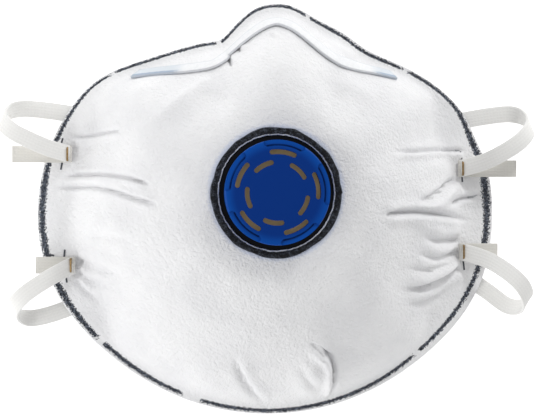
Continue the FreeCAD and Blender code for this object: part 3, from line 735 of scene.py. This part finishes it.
def fused_rim():
    """The welded edge under the cover: a thin ring fused from all the plies.

    Its section is eight points, given as shares of two thirds of the flange's width and as heights
    over the flange's underside.
    """
    ring = DIRECTION[::2]
    turn = np.abs(ring_difference(ring, 90))
    shares = np.array([0.0, 0.0, 0.2, 0.6, 1.0, 1.0, 0.6, 0.2])
    lifts = np.array([0.15, 0.45, 0.55, 0.6, 0.55, 0.05, 0.02, 0.02]) * MM
    insets = 0.05 * MM + 0.66 * flange_width(turn)[:, None] * shares
    radius = rim_radius(ring)[:, None] - insets
    height = rim_height(turn)[:, None] + insets * FLANGE_SLOPE + lifts
    angle = np.radians(ring)[:, None]
    rows = np.stack([radius * np.cos(angle), VALVE_Y + radius * np.sin(angle), height], -1)
    piece = link_mesh("fused_rim", rows, tube_faces(rows.shape[0], rows.shape[1]))
    fix_normals(piece)
    return belongs(piece, "welded_edge")


# ---------------------------------------------------------------- pieces that follow the skin

def smooth_route(control, steps):
    """A Catmull-Rom line through plan points."""
    points = np.array(control, float)
    points = np.concatenate([[2 * points[0] - points[1]], points, [2 * points[-1] - points[-2]]])
    share = np.linspace(0, 1, steps, endpoint=False)[:, None]
    pieces = []
    for a, b, c, d in zip(points[:-3], points[1:-2], points[2:-1], points[3:]):
        pieces.append(0.5 * (2 * b + (c - a) * share + (2 * a - 5 * b + 4 * c - d) * share ** 2
                             + (3 * b - a - 3 * c + d) * share ** 3))
    return np.concatenate([*pieces, points[-2][None]])


def route_on(grid, control, steps, nearest, passes, rise):
    """A line at a set rise over a skin grid, along a plan route in millimetres, and its cross axes.

    Height and normal are means of the nearest grid points, weighted by 1 / distance squared. Each
    pass then averages them with their neighbours along the line.
    """
    plan = smooth_route(control, steps) * MM
    grid, grid_out = grid.reshape(-1, 3), SKIN.normals.reshape(-1, 3)
    height, normal = [], []
    for place in plan:
        away = ((grid[:, :2] - place) ** 2).sum(1)
        near = np.argpartition(away, nearest)[:nearest]
        weight = 1 / (away[near] + 1e-10)
        height.append((grid[near, 2] * weight).sum() / weight.sum())
        normal.append((grid_out[near] * weight[:, None]).sum(0))
    height, normal = np.array(height), unit(np.array(normal))
    for _ in range(passes):
        height[1:-1] = (height[:-2] + 2 * height[1:-1] + height[2:]) / 4
        normal[1:-1] = unit(normal[:-2] + 2 * normal[1:-1] + normal[2:])
    points = np.concatenate([plan, height[:, None]], 1) + normal * rise
    along = unit(np.gradient(points, axis=0))
    side = unit(np.cross(normal, along))
    return points, side, np.cross(along, side)


def on_skin(name, route, width, thick, lift, steps):
    """A thin strip with a slightly crowned top, lying on the creased skin along a plan route."""
    points, side, up = route_on(SKIN.top, route, steps, nearest=4, passes=6, rise=lift + thick / 2)
    share = np.linspace(-1, 1, 9)
    crown = 0.12 * thick * (1 - share ** 2)
    section = np.concatenate([np.stack([share * width / 2, thick / 2 + crown], 1),
                              np.stack([share[::-1] * width / 2, np.full(9, -thick / 2)], 1)])
    return carried(name, points, side, up, section)


# the nose strip's plan line, in millimetres
CLIP_LINE = [(-39.4, 39.6), (-33.5, 40.1), (-27.0, 40.6), (-21.5, 41.1), (-17.6, 41.7), (-15.0, 43.0),
             (-11.6, 46.0), (-8.0, 49.2), (-4.6, 51.8), (-1.8, 53.5), (1.0, 54.4), (3.6, 54.0),
             (6.6, 52.4), (10.4, 49.4), (14.2, 46.2), (17.6, 43.9), (20.8, 42.6), (26.0, 41.4),
             (31.0, 40.4), (36.2, 39.4)]


def nose_clip():
    """The soft metal strip over the nose."""
    strip = on_skin("nose_strip", CLIP_LINE, width=4.4 * MM, thick=0.65 * MM, lift=0.35 * MM, steps=8)
    return belongs(strip, "nose_clip")


# the foam's plan line, in millimetres
FOAM_LINE = [(-33, 37.6), (-24, 38.6), (-16, 41.0), (-9, 45.3), (0, 49.0), (9, 45.3), (16, 41.0),
             (24, 38.6), (33, 37.6)]
FOAM_DEPTH = 6.6 * MM  # from the outer skin in to the middle of the foam


def nose_foam():
    """The grey foam pad inside, under the nose strip: a superellipse section, tapered at its ends."""
    points, side, up = route_on(SKIN.base, FOAM_LINE, steps=6, nearest=1, passes=10, rise=-FOAM_DEPTH)
    turn = np.linspace(0, 2 * np.pi, 24, endpoint=False)
    lobe = np.stack([np.sign(np.cos(turn)) * np.abs(np.cos(turn)) ** 0.5 * 4.8 * MM,
                     np.sign(np.sin(turn)) * np.abs(np.sin(turn)) ** 0.6 * 1.4 * MM], 1)
    share = np.linspace(0, 1, len(points))
    taper = np.sqrt(np.clip(np.minimum(share, 1 - share) / 0.04, 0.12, 1))[:, None, None]
    pad = belongs(carried("foam_pad", points, side, up, lobe * taper), "nose_foam")
    return pad


# short dark lines welded beside the staples, in plan millimetres
TICKS = [
    [(57.9, 17.6), (58.1, 15.2)], [(58.2, 10.2), (58.3, 8.4)], [(58.6, -15.4), (58.9, -18.0)],
    [(-61.2, 21.4), (-61.6, 20.0)], [(-61.4, 14.2), (-61.8, 12.0)], [(-60.6, -11.8), (-60.8, -14.2)],
    [(-60.2, -19.8), (-60.0, -21.6)], [(-65.8, -13.2), (-63.8, -13.6)]]


def weld_ticks():
    """Short dark pressed lines beside the staples."""
    marks = [on_skin(f"weld_tick_{number}", route, width=0.5 * MM, thick=0.12 * MM, lift=0.0, steps=4)
             for number, route in enumerate(TICKS)]
    return [belongs(mark) for mark in marks]


# ---------------------------------------------------------------- the valve

# curved slots of the cap: radius and width (mm), direction of the first and length (degrees)
SLOTS = {"outer_slots": (11.5, 1.4, 82.0, 32.0), "inner_slots": (8.6, 1.4, 118.0, 32.0),
         "windows": (13.45, 0.5, 82.0, 41.0), "rebates": (14.3, 2.1, 82.0, 40.0)}


def turned(name, profile, steps, closed=True):
    """A piece turned round the valve's axis from (radius, height) rows in millimetres.

    Either of a row's two values may be an array, which then varies round the axis.
    """
    angle = np.linspace(0, 2 * np.pi, steps, endpoint=False)
    radius, height = (np.stack([np.broadcast_to(row[k], steps) for row in profile]) * MM
                      for k in (0, 1))
    rings = np.stack([radius * np.cos(angle), radius * np.sin(angle), height], -1) + AXIS
    piece = link_mesh(name, rings, tube_faces(len(profile), steps, closed))
    fix_normals(piece)
    return piece


def weld_ring():
    """The fused ring round the valve: rough, faceted and uneven at its outer edge.

    Nine rows cross its top on a low sine swell; facets move the outer edge and ridges the inner one.
    """
    steps = 360
    angle = np.linspace(0, 360, steps, endpoint=False)
    random = np.random.default_rng(31)
    facets = np.interp(angle, np.linspace(0, 360, 40), np.append(random.uniform(-0.30, 0.30, 39), 0))
    ridge = np.interp(angle, np.linspace(0, 360, 140), random.uniform(-1, 1, 140))
    fine = np.interp(angle, np.linspace(0, 360, 300), random.uniform(-1, 1, 300))
    edge, outer = 16.35 + 0.10 * ridge, 18.55 + facets
    top = DOME_TOP / MM
    low = top - 0.55
    shares = np.linspace(0, 1, 9)
    rows = [(edge + 0.02, low), (edge, top - 0.1)]
    for row, share in enumerate(shares):
        arch = np.sin(np.pi * share)
        dents = 0.12 * np.sin(row * 1.7 + 6 * ridge) * fine * arch
        rows.append((edge + (outer - edge) * share, top - 0.06 + 0.30 * arch ** 0.5 + dents))
    rows.append((outer, low))
    piece = turned("fused_valve_ring", rows, steps)
    put_attribute(piece, "share", np.repeat([0, 0, *shares, 1], steps))
    return belongs(piece, "valve_weld_ring")


def slot_outline(radius, width, centre, span):
    """A curved slot in plan, mm: two arcs round the axis, joined by half-round ends."""
    way = np.radians(np.linspace(centre - span / 2, centre + span / 2, 21))
    arc = np.stack([np.cos(way), np.sin(way)], 1)
    fan = np.radians(np.linspace(0, 180, 9)[1:-1])[:, None]
    ends = []
    for out, sign in ((arc[-1], 1), (arc[0], -1)):
        onward = np.array([-out[1], out[0]])
        ends.append(out * radius + (np.cos(fan) * out + np.sin(fan) * onward) * sign * width / 2)
    return np.concatenate([arc * (radius + width / 2), ends[0],
                           arc[::-1] * (radius - width / 2), ends[1]])


def slot_cutter(name, slot, low, high):
    """Five curved blocks in a ring between two heights (mm), to be cut out of the cap."""
    radius, width, first, span = slot
    vertices, faces = [], []
    for number in range(5):
        outline = slot_outline(radius, width, first + 72 * number, span)
        size = len(outline)
        here = np.arange(size)
        after, base = (here + 1) % size, 2 * size * number
        vertices += [np.insert(outline, 2, z, axis=1) * MM + AXIS for z in (low, high)]
        faces += (base + np.stack([here, after, after + size, here + size], 1)).tolist()
        faces += [(base + here)[::-1].tolist(), (base + size + here).tolist()]
    piece = link_mesh(name, np.concatenate(vertices), faces, smooth=False)
    fix_normals(piece)
    return piece


def cut(piece, cutter):
    """Cuts one mesh out of another and drops the cutter."""
    step = piece.modifiers.new("cut", "BOOLEAN")
    step.operation, step.solver, step.object = "DIFFERENCE", "EXACT", cutter
    bpy.context.view_layer.update()
    shape = bpy.data.meshes.new_from_object(piece.evaluated_get(bpy.context.evaluated_depsgraph_get()))
    piece.modifiers.clear()
    piece.data = shape
    bpy.data.objects.remove(cutter)


def fill_holes(piece):
    """Closes a turned piece's two pole holes with flat faces."""
    work = bmesh.new()
    work.from_mesh(piece.data)
    bmesh.ops.holes_fill(work, edges=[edge for edge in work.edges if edge.is_boundary])
    bmesh.ops.recalc_face_normals(work, faces=work.faces)
    work.to_mesh(piece.data)
    work.free()


def valve_cap():
    """The blue cap: crowned disc with a rounded shoulder, slots right through and stepped windows."""
    top, foot, outer, wall = CAP_TOP / MM, CAP_FOOT / MM, 14.9, 1.1
    under = top - 2.0
    inside = [(0.5, under), (outer - wall - 0.3, under), (outer - wall, under - 0.3),
              (outer - wall, foot), (outer - 0.1, foot)]
    shoulder = [(outer, foot + 0.1), (outer, top - 1.30), (outer - 0.07, top - 1.05),
                (outer - 0.24, top - 0.86), (outer - 0.5, top - 0.76)]
    crown = [(outer * share, top - 0.8 * share ** 2) for share in (0.93, 0.8, 0.6, 0.4, 0.2, 0.04)]
    cap = turned("cap_shell", inside + shoulder + crown, 160, closed=False)
    fill_holes(cap)
    depths = {"outer_slots": under - 1, "inner_slots": under - 1, "rebates": top - 1.25,
              "windows": top - 1.9}
    for name, floor_height in depths.items():
        cut(cap, slot_cutter(name, SLOTS[name], floor_height, top + 1))
    cap.data.polygons.foreach_set("use_smooth", np.ones(len(cap.data.polygons), bool))
    spots = np.array([vertex.co for vertex in cap.data.vertices]) - AXIS
    put_attribute(cap, "from_axis", np.linalg.norm(spots[:, :2], axis=1) / MM)
    round_edges(cap, 0.16 * MM, 35)
    return belongs(cap, "valve_cover")


def round_edges(piece, width, angle):
    """Small rounded edges, with flat faces left flat."""
    bevel = piece.modifiers.new("edges", "BEVEL")
    bevel.width, bevel.segments, bevel.limit_method = width, 2, "ANGLE"
    bevel.angle_limit = np.radians(angle)
    bevel.use_clamp_overlap = True
    flat = piece.modifiers.new("flat", "WEIGHTED_NORMAL")
    flat.keep_sharp = True


def diaphragm():
    """The thin rubber disc on its seat, its rim a little softened."""
    low, high = (corner[2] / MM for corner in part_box("valve_diaphragm"))
    inner, outer = 1.6, 12.25
    profile = [(inner, low + 0.02), (outer - 0.1, low + 0.02), (outer, low + 0.15),
               (outer, high - 0.1), (outer - 0.1, high), (8, high - 0.05), (4, high - 0.02),
               (inner, high)]
    return belongs(turned("rubber_disc", profile, 96), "valve_diaphragm", "diaphragm")


# ---------------------------------------------------------------- materials

def fibres(finish, strength=1.0):
    """Relief of matted short fibres: four stretched noises, turned apart, over a fine grain."""
    total = finish.noise(1.1, 4, 0.6) * 0.8
    for turn in (0.3, 1.2, 2.1, 2.8):
        strands = finish.noise(1.0, 2, 0.5, finish.place((380, 1500, 900), (0.2, 0.1, turn)), 0.5)
        total = total + strands * 0.35
    return finish.bump(total, 0.0005 * strength)


def fabric_finish():
    """White spunbond fleece: fuzzy, and pressed to a dark mottled weld in the band round the rim.

    It greys a little towards the valve, painted shade, and takes a blue halo close to the fused ring,
    bluish fuzz darkened by painted shade of the dip there.
    """
    finish = Finish("white_fleece", (0.8, 0.8, 0.81), 0.95)
    finish.set("Specular IOR Level", 0.15).set("Sheen Weight", 0.25).set("Sheen Roughness", 0.6)
    mottle = finish.noise(2.0, 5, 0.7).band(0.30, 0.70)
    speckle = finish.noise(1.6, 4, 0.7).band(0.36, 0.56)
    weld = (finish.attribute("weld") + (mottle - 0.5) * 1.25).band(0.38, 0.66)
    cloud = finish.noise(0.05, 3)
    from_valve = finish.attribute("from_valve")
    white = finish.mix(cloud.band(0.35, 0.65), (0.80, 0.80, 0.815), (0.86, 0.86, 0.87))
    # painted shade: the base colour greys towards the valve, where the flat top takes less light
    dome_painted_shade = 1 - (from_valve + (cloud - 0.5) * 8.0).band(20.0, 30.0)
    white = finish.mix(dome_painted_shade * 0.45, white, (0.70, 0.70, 0.71))
    # bluish fuzz with painted shade: a blue-grey halo in the pressed dip round the fused ring
    halo = 1 - (from_valve + (mottle - 0.5) * 0.7).band(18.6, 20.2)
    white = finish.mix(halo * 0.6, white, (0.40, 0.47, 0.66))
    dark = finish.mix(speckle, (0.13, 0.15, 0.19), (0.006, 0.009, 0.018))
    finish.set("Base Color", finish.mix(weld, white, dark))
    finish.set("Roughness", 0.95 - weld * 0.35)
    return finish.set("Normal", fibres(finish))


def plain_fabric(name, color, strength=1.0):
    """Matted cloth of one colour, a little uneven."""
    finish = Finish(name, color, 0.95).set("Specular IOR Level", 0.15)
    darker = tuple(value * 0.85 for value in color)
    finish.set("Base Color", finish.mix(finish.noise(0.4).band(0.3, 0.7), darker, color))
    return finish.set("Normal", fibres(finish, strength))


def ring_finish():
    """Melted cloth on black plastic: mottled near-black, with a pale ragged line at the cut edge."""
    finish = Finish("melted_ring", (0.03, 0.03, 0.035), 0.6).set("Specular IOR Level", 0.2)
    coarse, fine = finish.noise(0.9, 5, 0.7), finish.noise(3.4, 4, 0.7)
    black = finish.mix((coarse * 0.5 + fine * 0.5).band(0.47, 0.62), (0.003, 0.003, 0.004),
                       (0.075, 0.085, 0.105))
    ragged = finish.attribute("share") + (coarse - 0.5) * 0.30
    black = finish.mix(ragged.band(0.86, 1.02) * 0.4, black, (0.12, 0.14, 0.20))
    finish.set("Base Color", finish.mix(1 - ragged.band(0.09, 0.19), black, (0.86, 0.87, 0.88)))
    finish.set("Roughness", 0.45 + fine * 0.35)
    return finish.set("Normal", finish.bump(coarse * 0.7 + fine * 0.5, 0.0006, 0.8))


def strap_finish(name, color):
    """Braided elastic: fine ribs along the band and small stitches across it."""
    finish = Finish(name, color, 0.85).set("Specular IOR Level", 0.2)
    ribs = (finish.attribute("across") * 7200.0).math("SINE")
    stitches = (finish.attribute("along") * 6300.0 + ribs * 1.2).math("SINE")
    grain = finish.noise(2.0, 3)
    shade = (ribs * 0.12 + stitches * 0.08 + grain * 0.5 + 0.3).clamped()
    finish.set("Base Color", finish.mix(shade, tuple(value * 0.88 for value in color), color))
    return finish.set("Normal", finish.bump(ribs * 0.3 + stitches * 0.15 + grain * 0.6, 0.0001, 0.6))


def metal_finish():
    """The soft aluminium strip: pale matt, with painted shade greying its edges and a painted blue-grey
    reflection at its ends, darker along their lower side.
    """
    finish = Finish("matt_strip", (0.78, 0.79, 0.81), 0.6).set("Specular IOR Level", 0.3)
    across = finish.attribute("across") * 1000.0
    strip_middle = 51.0
    from_middle = (finish.attribute("along") * 1000.0 - strip_middle).math("ABSOLUTE")
    grain = finish.noise(1.2)
    pale = finish.mix(grain.band(0.3, 0.7), (0.76, 0.77, 0.785), (0.82, 0.83, 0.84))
    # painted reflection at the ends: blue-grey, darker along the strip's lower side
    lower = 1 - (across + (grain - 0.5) * 0.6).band(-1.3, -0.6)
    end_reflection = finish.mix(lower, (0.60, 0.65, 0.70), (0.26, 0.35, 0.47))
    ends = (from_middle + (grain - 0.5) * 4.0).band(33.0, 38.0)
    # painted shade greys the strip along both its edges
    edge = (across.math("ABSOLUTE") + (grain - 0.5) * 0.3).band(1.72, 2.0)
    pale = finish.mix(ends * 0.85, pale, end_reflection)
    finish.set("Base Color", finish.mix(edge * 0.6, pale, (0.56, 0.58, 0.62)))
    return finish.set("Normal", finish.bump(grain, 0.0002, 0.5))


def blue_finish():
    """Blue plastic with a soft gloss, with a painted highlight lightening the cap's shoulder."""
    finish = Finish("blue_gloss", (0.002, 0.034, 0.20), 0.3).set("Specular IOR Level", 0.08)
    # painted highlight: lighter blue towards the cap's rounded shoulder
    edge = finish.attribute("from_axis").band(11.6, 14.6)
    finish.set("Base Color", finish.mix(edge, (0.001, 0.029, 0.195), (0.002, 0.060, 0.32)))
    grain = finish.noise(1.2, 3)
    finish.set("Roughness", 0.28 + grain * 0.12)
    return finish.set("Normal", finish.bump(grain, 0.00005, 0.4))


def plastic_finish(name, color, rough):
    """Plain moulded plastic or rubber with a faint grain."""
    finish = Finish(name, color, rough)
    grain = finish.noise(1.5, 3)
    finish.set("Roughness", rough - 0.05 + grain * 0.1)
    return finish.set("Normal", finish.bump(grain, 0.00005, 0.4))


def staple_finish():
    """Bronzed steel wire."""
    finish = Finish("bronzed_wire", (0.42, 0.28, 0.14), 0.35, 0.9)
    grain = finish.noise(1.5, 3).band(0.3, 0.7)
    return finish.set("Base Color", finish.mix(grain, (0.22, 0.14, 0.06), (0.40, 0.28, 0.14)))


def foam_finish():
    """Open-celled grey foam: pale cell walls round pits darkened with painted shade."""
    finish = Finish("grey_foam_pad", (0.22, 0.22, 0.23), 0.95)
    cells = finish.node("ShaderNodeTexVoronoi", None, {"Vector": finish.place(PER_MM), "Scale": 1.6})
    # painted shade darkens the pits, where the bump sinks
    finish.set("Base Color", finish.mix(cells.band(0.0, 0.6), (0.12, 0.12, 0.125), (0.26, 0.26, 0.27)))
    return finish.set("Normal", finish.bump(cells, 0.0003, 0.7))


# ---------------------------------------------------------------- the mask

set_camera()
set_light()
floor()
upper = strap("upper_strap", UPPER_ROUTE, "upper_left", "upper_right",
              tail=16.4 * MM, tilt=22)
lower = strap("lower_strap", LOWER_ROUTE, "lower_left", "lower_right",
              tail=10.4 * MM, tilt=-30)
strap_finish("elastic_white", (0.89, 0.885, 0.865)).on(upper[0], lower[0])
# The tails take a darker copy of the elastic: painted shade where they lie folded under the band.
strap_finish("elastic_painted_shade", (0.72, 0.705, 0.665)).on(*upper[1:], *lower[1:])

fabric_finish().on(cover_cloth())
plies = hidden_plies()
plain_fabric("carbon_grey", (0.06, 0.06, 0.065)).on(plies["carbon_layer"])
plain_fabric("filter_white", (0.84, 0.84, 0.85), 0.5).on(plies["filter_layer_outer"],
                                                         plies["filter_layer_inner"])
plain_fabric("shell_white", (0.78, 0.78, 0.77), 1.4).on(plies["support_shell"])
plain_fabric("lining_white", (0.84, 0.84, 0.84), 0.6).on(plies["inner_cover"])
plain_fabric("melted_edge", (0.55, 0.56, 0.58), 0.6).on(fused_rim())
plastic_finish("weld_mark", (0.05, 0.055, 0.07), 0.6).on(*weld_ticks())
metal_finish().on(nose_clip())
foam_finish().on(nose_foam())
ring_finish().on(weld_ring())
blue_finish().on(valve_cap())
# The tan disc glows weakly: painted light that brightens it down in the cap's slots.
plastic_finish("tan_silicone_painted_glow", (0.66, 0.50, 0.28), 0.5).set(
    "Emission Color", (0.66, 0.48, 0.26, 1)).set("Emission Strength", 0.10).on(diaphragm())
plastic_finish("black_seat", (0.004, 0.004, 0.005), 0.5).set(
    "Specular IOR Level", 0.12).on(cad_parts["valve_seat"])
staple_finish().on(*[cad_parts["staple_" + name]
                     for name in ("upper_left", "upper_right", "lower_left", "lower_right")])
